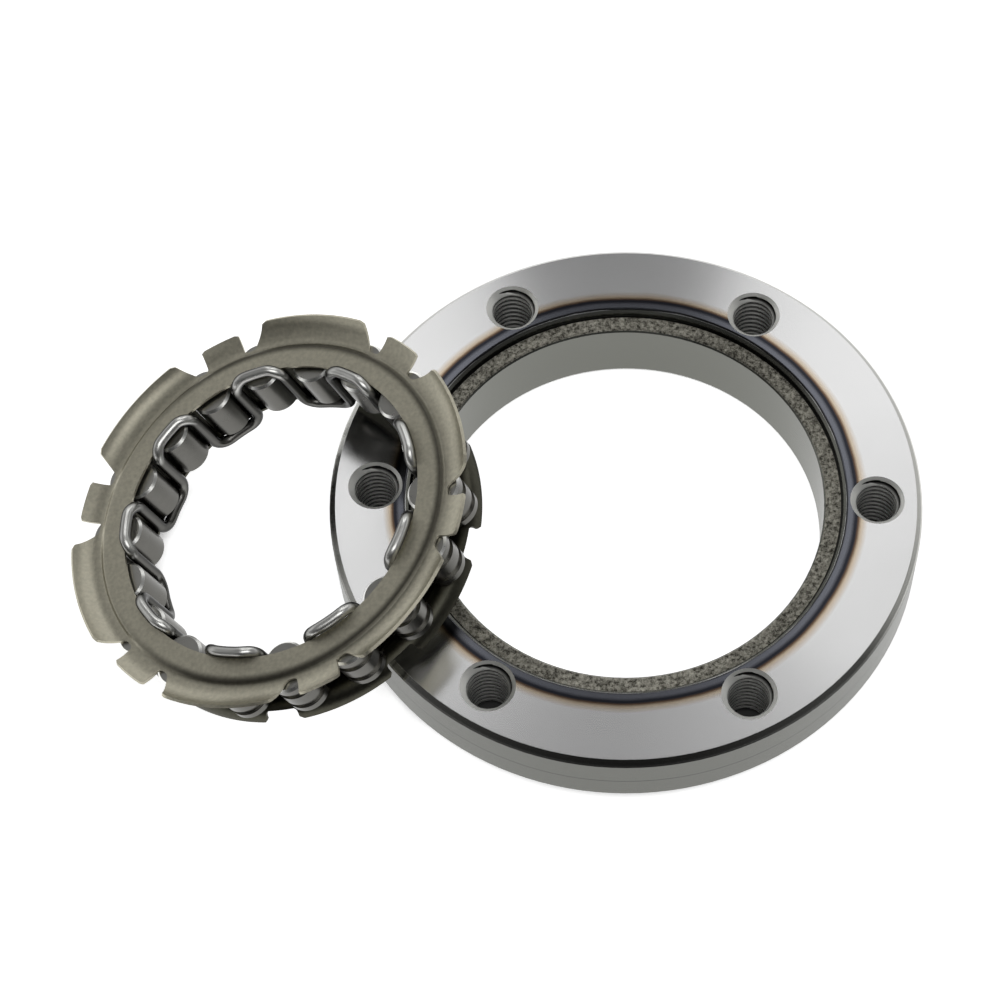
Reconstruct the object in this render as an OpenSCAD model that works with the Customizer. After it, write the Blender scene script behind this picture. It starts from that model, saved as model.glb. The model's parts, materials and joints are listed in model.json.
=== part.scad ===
// One-way starter clutch: a bolt-on outer race with its sprag cage leaning on it
// Lengths are in mm, +Z is up, the origin is on the race's axis at its base

/* [Outer race] */
// Height of the race over its spigot
race_h = 14; // [12:0.5:18]
// Diameter of the ground raceway
race_bore_d = 65.7; // [60:0.1:68]
// Chamfer on the outer edges
race_chamfer = 1; // [0.4:0.1:2]
// Chamfer at both ends of the raceway
bore_chamfer = 0.5; // [0.2:0.1:0.8]
// Gap between the recess and the tips of the cage's tabs
recess_gap = 1.4; // [0.8:0.1:2]
// Depth of the recess below the mounting face
recess_depth = 1.5; // [1:0.1:2]
// Bevel at the mouth of the recess
recess_bevel = 0.7; // [0.2:0.1:1]
// Step between the rim and the locating spigot
spigot_step = 2; // [1:0.25:2.25]
// Height of the locating spigot
spigot_h = 2; // [1:0.5:3]

/* [Tapped holes] */
// Number of tapped holes
hole_count = 6; // [4:1:8]
// Land between the recess and the holes' bevels
hole_land = 0.3; // [0.3:0.1:2]
// Land between the holes' bevels and the rim
rim_land = 3; // [3:0.5:8]
// Diameter of the holes over their thread
hole_d = 8; // [6:1:8]
// Width of the bevel round each hole
hole_bevel = 0.5; // [0.2:0.1:1]
// Angle of the first hole from +X
hole_phase = -1.9; // [-30:0.1:30]

/* [Sprags] */
// Number of sprags
sprag_count = 18; // [12:2:24]
// Radius at which each sprag rocks
sprag_pivot_r = 28.1; // [27:0.1:29]
// Length of a sprag
sprag_len = 8.4; // [7:0.1:10]
// Radius of the outer cam
cam_out_r = 3.6; // [3:0.1:4]
// Distance from pivot to the outer cam's centre
cam_out_rise = 0.95; // [0.5:0.05:1.5]
// Radius of the inner cam
cam_in_r = 3.5; // [3:0.1:4]
// Distance from pivot to the inner cam's centre
cam_in_drop = 0.88; // [0.5:0.02:1.5]
// Sideways offset between the two cams
cam_shift = 0.4; // [0:0.1:1]
// Half width of the waist
waist_half = 2.8; // [2.4:0.1:3.2]
// Radius of the hollow that forms the waist
waist_r = 2.2; // [1.5:0.1:3]
// Chamfer on the sprag's ends
sprag_chamfer = 0.4; // [0.2:0.1:0.6]
// Width of each groove around the outer cam
groove_w = 1.4; // [0.8:0.1:2]
// Depth of those grooves
groove_depth = 0.4; // [0.2:0.1:0.6]
// Distance from the sprag's end to a groove
groove_inset = 1.6; // [1:0.1:2.4]

/* [Cage] */
// Thickness of the pressed sheet
sheet_t = 0.5; // [0.4:0.05:0.8]
// Gap between the spring's legs and the end plates
leg_gap = 0.1; // [0.1:0.05:0.3]
// Width of the front plate's flat, from its inner edge to its step
front_flat = 4; // [3.6:0.1:4.4]
// Width of the valley between the front step and the tabs' roots
front_valley = 1; // [0.8:0.1:1.4]
// Reach of the wide tabs beyond their roots
wide_reach = 3.6; // [3:0.1:4]
// Reach of the narrow tabs beyond their roots
narrow_reach = 3.4; // [2.8:0.1:3.8]
// Rise of the wide tabs above the front plate
wide_rise = 1.7; // [1:0.1:2.2]
// Rise of the narrow tabs above the front plate
narrow_rise = 0.7; // [0.3:0.1:1.5]
// Wide tab's width at its root
wide_root_deg = 40.4; // [34:0.2:44]
// Wide tab's width at its tip
wide_tip_deg = 31.6; // [26:0.2:36]
// Narrow tab's width at its root
narrow_root_deg = 12.8; // [10:0.2:14]
// Narrow tab's width at its tip
narrow_tip_deg = 11.6; // [8:0.2:14]
// Number of wide tabs on the front plate
front_tabs = 6; // [4:1:8]
// Width of the valley between the rear step and the rear tabs' roots
rear_valley = 0.9; // [0.8:0.1:1.2]
// Reach of the rear tabs beyond their roots
rear_reach = 2.5; // [2.2:0.1:2.8]
// Rise of the rear tabs beyond the rear plate
rear_rise = 1.6; // [0.6:0.1:1.8]
// Width of the lip left at the bottom of the rear notches
rear_lip = 1.5; // [1:0.1:1.8]
// Number of tabs on the rear plate
rear_tabs = 9; // [6:1:12]
// Width of each rear notch
rear_notch_deg = 10; // [6:0.5:14]
// Step between plate and tab roots
plate_step = 0.4; // [0.2:0.1:0.6]
// Gap between a sprag's end and the stepped sheet
end_gap = 0.15; // [0.1:0.05:0.4]
// Width of each crossbar between the sprags
bar_w = 2.6; // [2:0.1:3]
// Land between the plates' inner edge and the crossbars
bar_land = 1.3; // [1:0.1:1.4]
// Land between the crossbars and the rear plate's step
rear_land = 0.3; // [0.2:0.1:0.6]
// Thickness of the crossbars
bar_t = 0.8; // [0.6:0.1:1.2]

/* [Spring] */
// Diameter of the meander spring's wire
wire_d = 1.6; // [1:0.1:1.7]
// Radius on which the wire runs
wire_path_r = 25.1; // [24.6:0.05:25.1]
// Height of the front loops above the front plate
loop_front = 1.4; // [0.9:0.1:1.8]
// Distance of the rear loops behind the rear plate
loop_rear = 0.9; // [0.4:0.1:1.2]
// Corner radius of the loops
loop_corner_r = 2; // [1.4:0.1:2.4]

/* [Resting place of the cage] */
// Distance of the cage's centre outside the race's rim
cage_offset = 8.6; // [7.5:0.1:10]
// Distance of the cage's centre towards the front
cage_side = 7.4; // [0:0.1:10]
// Run from the cage's foot to where it crosses the race's edge
cage_run = 40.6; // [38:0.1:42]
// Lean of the cage towards the front
cage_pitch = 2.3; // [0:0.1:4]
// Turn of the cage about its own axis
cage_phase = 18; // [-180:0.5:180]

/* [Hidden] */
$fn = 96;
eps = 0.01;
race_steel = "#9c9c9a";
cage_steel = "#807d70";
sprag_steel = "#4c4c4a";
wire_steel = "#b9b9b4";
bore_r = race_bore_d / 2;
plate_in_r = wire_path_r + wire_d / 2 + leg_gap;
bar_r = plate_in_r + bar_land + bar_t / 2;
front_crease_r = plate_in_r + front_flat;
front_notch_r = front_crease_r + front_valley;
wide_tip_r = front_notch_r + wide_reach;
narrow_tip_r = front_notch_r + narrow_reach;
rear_crease_r = bar_r + bar_t / 2 + rear_land;
rear_root_r = rear_crease_r + rear_valley;
rear_notch_r = rear_root_r + rear_lip;
rear_tip_r = rear_root_r + rear_reach;
recess_r = wide_tip_r + recess_gap;
hole_mouth_r = hole_d / 2 + hole_bevel;
hole_circle_r = recess_r + recess_bevel + hole_land + hole_mouth_r;
race_r = hole_circle_r + hole_mouth_r + rim_land;
spigot_r = race_r - spigot_step;
shelf_z = race_h - recess_depth;
pitch_deg = 360 / sprag_count;
sprag_top = -sheet_t - plate_step - end_gap;
sprag_base = sprag_top - sprag_len;
rear_front_z = sprag_base - end_gap;
rear_plate_z = rear_front_z - plate_step - sheet_t;
cage_lean = atan(race_h / cage_run);
cage_tilt = acos(cos(cage_lean) * cos(cage_pitch));
cage_z = rear_tip_r * sin(cage_tilt) - (rear_plate_z - rear_rise) * cos(cage_tilt);
wire_r = wire_d / 2;
loop_rear_z = rear_plate_z - loop_rear;
root_lap = 0.3;
edge_round = 0.1;
wire_sides = 12;
corner_steps = 5;
run_steps = 3;
leg_deg = pitch_deg / 2;
corner_deg = 2 * asin(loop_corner_r / 2 / wire_path_r);

// Places a child given in the cage's own frame: +Z out of the front plate
module lean()
    translate([-race_r - cage_offset, -cage_side, cage_z])
        rotate([cage_pitch, -cage_lean, 0])
            rotate([0, 0, cage_phase])
                children();

module outer_race()
    color(race_steel)
        difference() {
            rotate_extrude()
                polygon([
                    [bore_r + bore_chamfer, 0],
                    [spigot_r - bore_chamfer, 0],
                    [spigot_r, bore_chamfer],
                    [spigot_r, spigot_h],
                    [race_r - race_chamfer, spigot_h],
                    [race_r, spigot_h + race_chamfer],
                    [race_r, race_h - race_chamfer],
                    [race_r - race_chamfer, race_h],
                    [recess_r + recess_bevel, race_h],
                    [recess_r, race_h - recess_bevel],
                    [recess_r, shelf_z],
                    [bore_r + bore_chamfer, shelf_z],
                    [bore_r, shelf_z - bore_chamfer],
                    [bore_r, bore_chamfer]
                ]);
            for (i = [0 : hole_count - 1])
                rotate([0, 0, hole_phase + i * 360 / hole_count])
                    translate([hole_circle_r, 0, 0])
                        tapped_hole();
        }

// A through hole, bevelled at both faces
module tapped_hole() {
    translate([0, 0, -1])
        cylinder(d = hole_d, h = race_h + 2);
    translate([0, 0, race_h - hole_bevel])
        cylinder(r1 = hole_d / 2, r2 = hole_mouth_r + eps, h = hole_bevel + eps);
    translate([0, 0, -eps])
        cylinder(r1 = hole_mouth_r + eps, r2 = hole_d / 2, h = hole_bevel + eps);
}

// Radius of the arc that leaves the valley level and rises to the tip
function lip_arc(run, rise) = (run * run + pow(rise + plate_step, 2)) / (2 * (rise + plate_step));

// Section of a lip: it starts level at root_r and curves up to tip_r
module lip_section(root_r, tip_r, rise) {
    arc_r = lip_arc(tip_r - root_r, rise);
    tip_deg = asin((tip_r - root_r) / arc_r);
    reach = 2 * arc_r;
    translate([root_r, arc_r - plate_step]) {
        intersection() {
            difference() {
                circle(r = arc_r + sheet_t);
                circle(r = arc_r);
            }
            polygon([[0, 0], [0, -reach], [reach * sin(tip_deg), -reach * cos(tip_deg)]]);
        }
        polygon([[0, -arc_r], [0, -arc_r - sheet_t], [-root_lap, -arc_r - sheet_t / 2]]);
    }
}

// Section of the flat plate with its small step down to the level of the lip's root
module plate_section(crease_r, root_r)
    polygon([
        [plate_in_r, -sheet_t],
        [plate_in_r, -edge_round],
        [plate_in_r + edge_round, 0],
        [crease_r, 0],
        [crease_r + plate_step, -plate_step],
        [root_r, -plate_step],
        [root_r, -plate_step - sheet_t],
        [crease_r + plate_step / 2, -plate_step - sheet_t],
        [crease_r - plate_step / 2, -sheet_t]
    ]);

// A flared tab, cut to a taper: widths are angles at its root and at its tip
module flared_tab(root_r, tip_r, rise, root_deg, tip_deg) {
    x0 = root_r * cos(root_deg / 2);
    y0 = root_r * sin(root_deg / 2);
    x1 = tip_r * cos(tip_deg / 2);
    y1 = tip_r * sin(tip_deg / 2);
    k = (y1 - y0) / (x1 - x0);
    sector_deg = root_deg + 6;
    intersection() {
        rotate([0, 0, -sector_deg / 2])
            rotate_extrude(angle = sector_deg)
                lip_section(root_r, tip_r, rise);
        translate([0, 0, -5])
            linear_extrude(height = 10)
                polygon([
                    [x0 - 8, y0 - 8 * k],
                    [x0 - 8, -y0 + 8 * k],
                    [x1 + 4, -y1 - 4 * k],
                    [x1 + 4, y1 + 4 * k]
                ]);
    }
}

// Front plate with its tabs, and the crossbars that reach to the rear plate
module cage_front()
    color(cage_steel)
        lean() {
            rotate([0, 0, pitch_deg])
                rotate_extrude()
                    plate_section(front_crease_r, front_notch_r);
            for (i = [0 : front_tabs - 1])
                rotate([0, 0, i * 360 / front_tabs])
                    flared_tab(front_notch_r, wide_tip_r, wide_rise, wide_root_deg, wide_tip_deg);
            for (i = [0 : front_tabs - 1])
                rotate([0, 0, (i + 0.5) * 360 / front_tabs])
                    flared_tab(front_notch_r, narrow_tip_r, narrow_rise, narrow_root_deg, narrow_tip_deg);
            crossbars();
        }

// Window band between the plates: one window round each sprag's waist
module crossbars() {
    top = -sheet_t / 2;
    base = rear_plate_z + sheet_t;
    window_w = 2 * bar_r * sin(pitch_deg / 2) - bar_w;
    difference() {
        translate([0, 0, base])
            difference() {
                cylinder(r = bar_r + bar_t / 2, h = top - base);
                translate([0, 0, -1])
                    cylinder(r = bar_r - bar_t / 2, h = top - base + 2);
            }
        for (i = [0 : sprag_count - 1])
            rotate([0, 0, i * pitch_deg])
                translate([bar_r - 2 * bar_t, -window_w / 2, sprag_base - end_gap])
                    cube([4 * bar_t, window_w, sprag_len + 2 * end_gap]);
    }
}

// Rear plate: a flared rim, notched between its tabs
module cage_rear()
    color(cage_steel)
        lean()
            translate([0, 0, rear_plate_z])
                mirror([0, 0, 1])
                    difference() {
                        union() {
                            rotate_extrude()
                                plate_section(rear_crease_r, rear_root_r);
                            rotate_extrude()
                                lip_section(rear_root_r, rear_tip_r, rear_rise);
                        }
                        for (i = [0 : rear_tabs - 1])
                            rotate([0, 0, leg_deg + i * 360 / rear_tabs])
                                rear_notch();
                    }

module rear_notch()
    rotate([0, 0, -rear_notch_deg / 2])
        rotate_extrude(angle = rear_notch_deg)
            translate([rear_notch_r, -5])
                square([5, 10]);

// One sprag about its pivot: two cams and a waist, +X outward
module sprag_body() {
    out_x = cam_out_rise;
    in_x = -cam_in_drop;
    difference() {
        union() {
            translate([out_x, cam_shift / 2, 0])
                cam(cam_out_r);
            translate([in_x, -cam_shift / 2, 0])
                cam(cam_in_r);
        }
        for (side = [-1, 1])
            translate([0, side * (waist_half + waist_r), -1])
                cylinder(r = waist_r, h = sprag_len + 2);
        for (z = [groove_inset, sprag_len - groove_inset - groove_w])
            translate([out_x, cam_shift / 2, z])
                cam_groove();
    }
}

module cam(r)
    rotate_extrude()
        polygon([
            [0, 0],
            [r - sprag_chamfer, 0],
            [r, sprag_chamfer],
            [r, sprag_len - sprag_chamfer],
            [r - sprag_chamfer, sprag_len],
            [0, sprag_len]
        ]);

module cam_groove()
    intersection() {
        difference() {
            cylinder(r = cam_out_r + 1, h = groove_w);
            translate([0, 0, -1])
                cylinder(r = cam_out_r - groove_depth, h = groove_w + 2);
        }
        translate([0, -6, -1])
            cube([8, 12, groove_w + 2]);
    }

module sprag(i)
    color(sprag_steel)
        lean()
            rotate([0, 0, i * pitch_deg])
                translate([sprag_pivot_r, 0, sprag_base])
                    sprag_body();

module sprag_01() sprag(0);
module sprag_02() sprag(1);
module sprag_03() sprag(2);
module sprag_04() sprag(3);
module sprag_05() sprag(4);
module sprag_06() sprag(5);
module sprag_07() sprag(6);
module sprag_08() sprag(7);
module sprag_09() sprag(8);
module sprag_10() sprag(9);
module sprag_11() sprag(10);
module sprag_12() sprag(11);
module sprag_13() sprag(12);
module sprag_14() sprag(13);
module sprag_15() sprag(14);
module sprag_16() sprag(15);
module sprag_17() sprag(16);
module sprag_18() sprag(17);

// The meander: each sprag takes one loop, in front of one and behind the next
function loop_z(k) = k % 2 == 0 ? loop_front : loop_rear_z;
// One loop over sprag k as [angle, height] pairs, from its first leg to its second
function loop_half(k, side) =
    let(s = k % 2 == 0 ? 1 : -1)
    [for (j = [0 : corner_steps])
        let(a = 90 * (side < 0 ? j : corner_steps - j) / corner_steps)
        [k * pitch_deg + side * (leg_deg - corner_deg * (1 - cos(a))),
         loop_z(k) - s * loop_corner_r * (1 - sin(a))]];
function loop_run(k) =
    [for (j = [1 : run_steps - 1])
        [k * pitch_deg + (leg_deg - corner_deg) * (2 * j / run_steps - 1), loop_z(k)]];
wire_line = [for (k = [0 : sprag_count - 1])
    each concat(loop_half(k, -1), loop_run(k), loop_half(k, 1))];
wire_pts = [for (p = wire_line) [wire_path_r * cos(p[0]), wire_path_r * sin(p[0]), p[1]]];
wire_n = len(wire_pts);
function unit(v) = v / norm(v);
function wire_dir(i) =
    unit(wire_pts[(i + 1) % wire_n] - wire_pts[(i + wire_n - 1) % wire_n]);
function wire_ring(i) =
    let(p = wire_pts[i], t = wire_dir(i), u = unit([p[0], p[1], 0]), v = unit(cross(t, u)), w = cross(v, t))
    [for (j = [0 : wire_sides - 1])
        let(a = 360 * j / wire_sides)
        p + wire_r * (cos(a) * w + sin(a) * v)];

module spring()
    color(wire_steel)
        lean()
            polyhedron(
                points = [for (i = [0 : wire_n - 1]) each wire_ring(i)],
                faces = [for (i = [0 : wire_n - 1], j = [0 : wire_sides - 1])
                    let(i2 = (i + 1) % wire_n, j2 = (j + 1) % wire_sides,
                        a = i * wire_sides + j, b = i * wire_sides + j2,
                        c = i2 * wire_sides + j2, d = i2 * wire_sides + j)
                    each [[a, b, c], [a, c, d]]]);

outer_race();
cage_front();
cage_rear();
spring();
sprag_01();
sprag_02();
sprag_03();
sprag_04();
sprag_05();
sprag_06();
sprag_07();
sprag_08();
sprag_09();
sprag_10();
sprag_11();
sprag_12();
sprag_13();
sprag_14();
sprag_15();
sprag_16();
sprag_17();
sprag_18();
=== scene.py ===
"""Looks of a one-way starter clutch: a ground outer race, and its sprag cage leaning on it."""
import json
import math

import bmesh
import bpy
from mathutils import Matrix, Vector


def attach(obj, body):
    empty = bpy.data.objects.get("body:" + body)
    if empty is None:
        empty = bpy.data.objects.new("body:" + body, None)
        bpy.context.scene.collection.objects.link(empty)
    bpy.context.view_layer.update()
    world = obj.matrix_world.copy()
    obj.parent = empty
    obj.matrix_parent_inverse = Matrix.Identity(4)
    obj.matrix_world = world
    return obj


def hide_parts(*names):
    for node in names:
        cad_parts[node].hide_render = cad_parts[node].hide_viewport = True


bl_info = {
    "name": "Starter Clutch",
    "version": (1, 0, 0),
    "blender": (4, 5, 0),
    "location": "View3D > Sidebar > Clutch",
    "description": "Builds the looks of a sprag-type starter clutch round its fixed frame",
    "category": "Object",
}

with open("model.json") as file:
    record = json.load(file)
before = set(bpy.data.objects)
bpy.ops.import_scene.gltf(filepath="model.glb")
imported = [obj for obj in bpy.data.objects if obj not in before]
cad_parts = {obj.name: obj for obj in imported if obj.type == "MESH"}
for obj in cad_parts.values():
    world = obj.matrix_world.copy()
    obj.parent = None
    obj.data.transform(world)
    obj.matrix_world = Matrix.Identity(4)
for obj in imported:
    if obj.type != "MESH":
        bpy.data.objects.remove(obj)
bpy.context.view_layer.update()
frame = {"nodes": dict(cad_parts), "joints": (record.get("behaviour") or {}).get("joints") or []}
MM = 0.001
SPRAG_COUNT = sum(name.startswith("sprag_") for name in frame["nodes"])
TAB_PAIRS = 6  # the front plate has a wide and a narrow tab in each pair
REAR_TABS = 9
CAGE_DEPTH = 10.5 * MM  # from the front plate's face to the rear plate's
SHEET_EDGE = 0.12 * MM  # rounding that tumbling leaves on the sheet's edges
FACE_BAND = 0.3 * MM  # depth within which the race's surface counts as its face
EDGE_GAP = 0.02 * MM  # keeps a surface or a test clear of the edge beside it
# A Mix node's colour inputs share their names with its other inputs, so they go by number
FACTOR, FIRST, SECOND = 0, 6, 7


def length_prop(name, description, size):
    """A property for a length, with its default in millimetres."""
    return bpy.props.FloatProperty(name=name, description=description, default=size * MM, unit="LENGTH")


def angle_prop(name, description, turn):
    """A property for an angle, with its default in degrees."""
    return bpy.props.FloatProperty(
        name=name, description=description, default=math.radians(turn), subtype="ANGLE")


def colour_prop(name, description, hexa):
    """A property for a colour, as sRGB hex."""
    return bpy.props.StringProperty(name=name, description=description, default=hexa)


class RaceSettings(bpy.types.PropertyGroup):
    hole_count: bpy.props.IntProperty(
        name="Tapped holes", description="Number of tapped holes", default=6)
    hole_circle: length_prop("Hole circle", "Radius of the circle through the holes", 41.5)
    hole_phase: angle_prop("Hole phase", "Angle of the first hole", -1.9)
    thread_major: length_prop("Thread root", "Radius at the thread's roots", 4.0)
    thread_minor: length_prop("Thread crest", "Radius at the thread's crests", 3.38)
    thread_pitch: length_prop("Thread pitch", "Rise of the thread in one turn", 1.25)
    countersink: length_prop("Countersink", "Radius of the bevel at a hole's mouth", 4.5)
    height: length_prop("Height", "Height of the race", 14.0)
    rim: length_prop("Rim", "Outer radius of the race", 49.0)
    bevel: length_prop("Bevel", "Width of the bevel round the rim", 0.98)
    # Painted highlight: the bevel below this depth is coloured lighter
    bevel_highlight_depth: length_prop("Bevel highlight", "Depth under the face from where the bevel is rubbed bright", 0.75)
    side_depth: length_prop("Side depth", "How far in from the rim the turning lines reach", 0.8)
    line_height: length_prop("Rim line", "Height of the fine line round the rim", 7.8)
    line_width: length_prop("Rim line width", "Distance at which the fine line has faded", 0.3)
    recess: length_prop("Recess", "Radius of the recess", 36.0)
    shelf_outer: length_prop("Shelf outside", "Outer radius of the grainy shelf", 35.6)
    shelf_inner: length_prop("Shelf inside", "Inner radius of the grainy shelf", 33.1)
    tint_start: length_prop("Tint start", "Radius where the heat tint starts", 36.0)
    tint_end: length_prop("Tint end", "Radius where the heat tint has faded", 40.3)
    tint_waver: length_prop("Tint waver", "How far the tint's rings stray to either side", 0.35)
    stretch: bpy.props.FloatProperty(
        name="Stretch", description="How far the turning marks stretch a reflection", default=0.9)
    turning: length_prop("Turning", "Distance between two turning lines on the side", 1 / 9)
    cloud: length_prop("Cloud", "Size of the duller patches on the ground steel", 11.11)
    grit: length_prop("Grit", "Size of the grains on the shelf", 0.5556)
    haze: length_prop("Haze", "Size of the duller specks in the threads", 0.6667)
    steel: colour_prop("Ground steel", "Colour of the ground face", "D2D2D2")
    turned: colour_prop("Turned steel", "Colour of the side and the raceway", "71726C")
    fade: colour_prop("Faded tint", "Pale outer edge of the tint", "B9AA96")
    straw: colour_prop("Straw tint", "Brown edge of the tint", "64503F")
    navy: colour_prop("Dark tint", "Darkest band of the tint", "2C2D33")
    blue: colour_prop("Blue tint", "Inside of the tint", "64666D")
    # Near black: painted shade on the recess's wall and beside the step's edge, and the colour of the side's
    # deep lines
    shade_and_line_black: colour_prop("Recess wall", "Colour of the recess's wall and of the deep lines", "1E1E1C")
    scale: colour_prop("Scale", "Dark grains on the shelf", "3E3C35")
    shelf: colour_prop("Shelf", "Bright grains on the shelf", "C8C5B8")
    # Painted light: the crests are coloured near white as a painted highlight, the roots near black as
    # painted shade
    thread_steel: colour_prop("Threads", "Colour of the threads' crests", "F4F4F0")
    thread_root_shade: colour_prop("Thread root shade", "Oil in the threads' roots", "100F0E")
    edge_steel: colour_prop("Rim edge", "Colour of the rim's bevel", "959591")
    # Painted highlight on the bevel's lower edge
    bevel_low_highlight: colour_prop("Rim edge highlight", "Colour of the bevel's rubbed lower edge", "C8C8C4")


class CageSettings(bpy.types.PropertyGroup):
    sheet: length_prop("Sheet", "Thickness of the pressed sheet", 0.5)
    inner: length_prop("Inner radius", "Inner radius of both plates", 26.0)
    step: length_prop("Step", "Step between a plate and the roots of its tabs", 0.4)
    front_crease: length_prop("Front crease", "Radius where the front plate steps down", 30.0)
    front_root: length_prop("Front root", "Radius at the front tabs' roots", 31.0)
    wide_tip: length_prop("Wide tip", "Radius of the wide tabs' tips", 34.6)
    wide_rise: length_prop("Wide rise", "Rise of the wide tabs", 1.7)
    wide_root_angle: angle_prop("Wide root", "Wide tab's width at its root", 40.4)
    wide_tip_angle: angle_prop("Wide tip width", "Wide tab's width at its tip", 31.6)
    narrow_tip: length_prop("Narrow tip", "Radius of the narrow tabs' tips", 34.4)
    narrow_rise: length_prop("Narrow rise", "Rise of the narrow tabs", 0.7)
    narrow_root_angle: angle_prop("Narrow root", "Narrow tab's width at its root", 12.8)
    narrow_tip_angle: angle_prop("Narrow tip width", "Narrow tab's width at its tip", 11.6)
    rear_crease: length_prop("Rear crease", "Radius where the rear plate steps down", 28.4)
    rear_root: length_prop("Rear root", "Radius where the rear rim starts to flare", 29.3)
    rear_notch: length_prop("Rear notch", "Radius at the bottom of the rear notches", 30.8)
    rear_tip: length_prop("Rear tip", "Radius of the rear tabs' tips", 31.8)
    rear_rise: length_prop("Rear rise", "Rise of the rear rim", 1.6)
    rear_phase: angle_prop("Rear phase", "Angle of the first rear tab", 30)
    rear_notch_angle: angle_prop("Rear notch width", "Width of a rear notch", 10)
    bar_radius: length_prop("Crossbar radius", "Radius on which the crossbars stand", 27.7)
    bar_sheet: length_prop("Crossbar thickness", "Thickness of the crossbars", 0.8)
    bar_width: length_prop("Crossbar width", "Width of a crossbar", 2.6)
    window_top: length_prop("Window top", "Depth at which the windows start", 0.9)
    window_base: length_prop("Window base", "Depth at which the windows end", 9.6)
    corner: length_prop("Corner", "Radius of the tabs' corners", 0.2)
    fillet: length_prop("Fillet", "Radius between a tab's side and the notch beside it", 0.5)
    mottle: length_prop("Mottle", "Size of the specks that tumbling leaves on the sheet", 0.625)
    # Painted shade: these settings darken the front plate's colour along its crease
    crease_shade: bpy.props.FloatProperty(
        name="Crease shade", description="Share of the crease's steel that tumbling left dark", default=0.85)
    crease_shade_radius: length_prop("Grime radius", "Radius of the dark trace along the crease", 29.9)
    crease_shade_width: length_prop(
        "Grime width", "Distance from the crease at which the dark trace has faded", 1.25)
    steel: colour_prop("Sheet steel", "Colour of the pressed sheet", "BAB6A5")
    crease_shade_colour: colour_prop("Grime colour", "Colour in the crease", "2E2C26")
    # Painted shade: the rear plate and the crossbars are coloured nearly black for the shade they lie in
    rear_shade_colour: colour_prop("Shaded sheet", "Colour of the rear plate and the crossbars", "4B4A41")


class SpringSettings(bpy.types.PropertyGroup):
    loops: bpy.props.IntProperty(
        name="Loops", description="Number of loops, front and rear together", default=SPRAG_COUNT)
    wire: length_prop("Wire", "Diameter of the wire", 1.88)
    path_radius: length_prop("Path radius", "Radius on which the wire runs", 25.05)
    front: length_prop("Front loops", "Height of the front loops over the front plate", 0.92)
    rear: length_prop("Rear loops", "Distance of the rear loops behind the front plate's face", 11.05)
    lap: length_prop("Lap", "How far the front loops reach out over the front plate", 0.4)
    corner: length_prop("Corner", "Corner radius of the loops", 2.6)
    mottle: length_prop("Mottle", "Size of the specks on the drawn wire", 0.8333)
    # Painted highlight: the front loops are coloured nearly white, fading over this depth
    painted_bright_depth: length_prop(
        "Loop highlight depth", "Depth over which the brightness of the front loops fades", 1.5)
    steel: colour_prop("Wire steel", "Colour of the wire", "8A8985")
    # Painted highlight: colour of the front loops
    painted_bright: colour_prop("Loop highlight", "Colour of the front loops", "F2F2EE")
    # Painted shade: colour of the wire where it turns away from the eye
    outline_shade: colour_prop("Wire outline shade", "Colour of the oiled wire seen at a low angle", "2A2A28")


class SpragSettings(bpy.types.PropertyGroup):
    mottle: length_prop("Mottle", "Size of the patches on the sprags' sides", 1.4286)
    steel: colour_prop("Sprag steel", "Colour of the sprags' sides", "666561")
    # The ends' pale colour is partly their ground finish and partly painted light; the edges' near-white is a
    # painted highlight
    ends: colour_prop("Sprag ends", "Colour of the sprags' ground ends", "B4B3AE")
    edges: colour_prop("Sprag edges", "Colour of the bevels at the ends", "F0F0EC")


class StageSettings(bpy.types.PropertyGroup):
    camera_place: bpy.props.FloatVectorProperty(
        name="Camera", description="Place of the camera",
        default=(0.0, -0.2141, 0.3898), subtype="TRANSLATION", unit="LENGTH")
    camera_tilt: angle_prop("Camera tilt", "Turn of the camera from straight down", 29.51)
    lens: bpy.props.FloatProperty(
        name="Lens", description="Focal length in mm on a 36 mm sensor", default=94.25)
    shift: bpy.props.FloatProperty(
        name="Shift", description="Sideways shift that frames the object as in the photograph",
        default=-0.126)
    lamp_power: bpy.props.FloatProperty(
        name="Softbox", description="Power of each softbox in W", default=0.66)
    lamp_width: length_prop("Softbox width", "Width of each softbox", 260)
    lamp_length: length_prop("Softbox length", "Length of each softbox, away from the camera", 600)
    lamp_side: length_prop("Softbox distance", "Distance of each softbox to its side", 200)
    lamp_shift: length_prop("Softbox shift", "Shift of both softboxes to the left", 8)
    lamp_depth: length_prop("Softbox depth", "Distance of the softboxes behind the object", 550)
    lamp_height: length_prop("Softbox height", "Height of the softboxes", 730)
    top_front: length_prop("Top softbox", "Distance of the top softbox towards the camera", 300)
    top_side: length_prop("Top softbox side", "Distance of the top softbox to the right", 60)
    top_width: length_prop("Top softbox width", "Width of the top softbox", 600)
    top_length: length_prop("Top softbox length", "Length of the top softbox", 400)
    top_height: length_prop("Top softbox height", "Height of the top softbox", 800)
    top_power: bpy.props.FloatProperty(
        name="Top power", description="Power of the top softbox in W", default=1.25)
    ceiling: bpy.props.FloatProperty(
        name="Ceiling", description="Strength of the dark studio overhead", default=0.17)
    sweep: bpy.props.FloatProperty(
        name="Sweep", description="Strength of the pale surroundings", default=1.0)
    floor_glow: bpy.props.FloatProperty(
        name="Floor glow", description="Share of white that the floor shows by itself", default=0.9)
    paper: colour_prop("Paper", "Colour of the paper sweep", "E6E6E6")
    shade: colour_prop("Shade", "Colour of the sweep deep under the object", "2A2A2A")


def linear(hexa):
    """sRGB hex to linear RGBA."""
    out = []
    for i in (0, 2, 4):
        c = int(hexa[i:i + 2], 16) / 255
        out.append(c / 12.92 if c <= 0.04045 else ((c + 0.055) / 1.055) ** 2.4)
    return (*out, 1.0)


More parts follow.
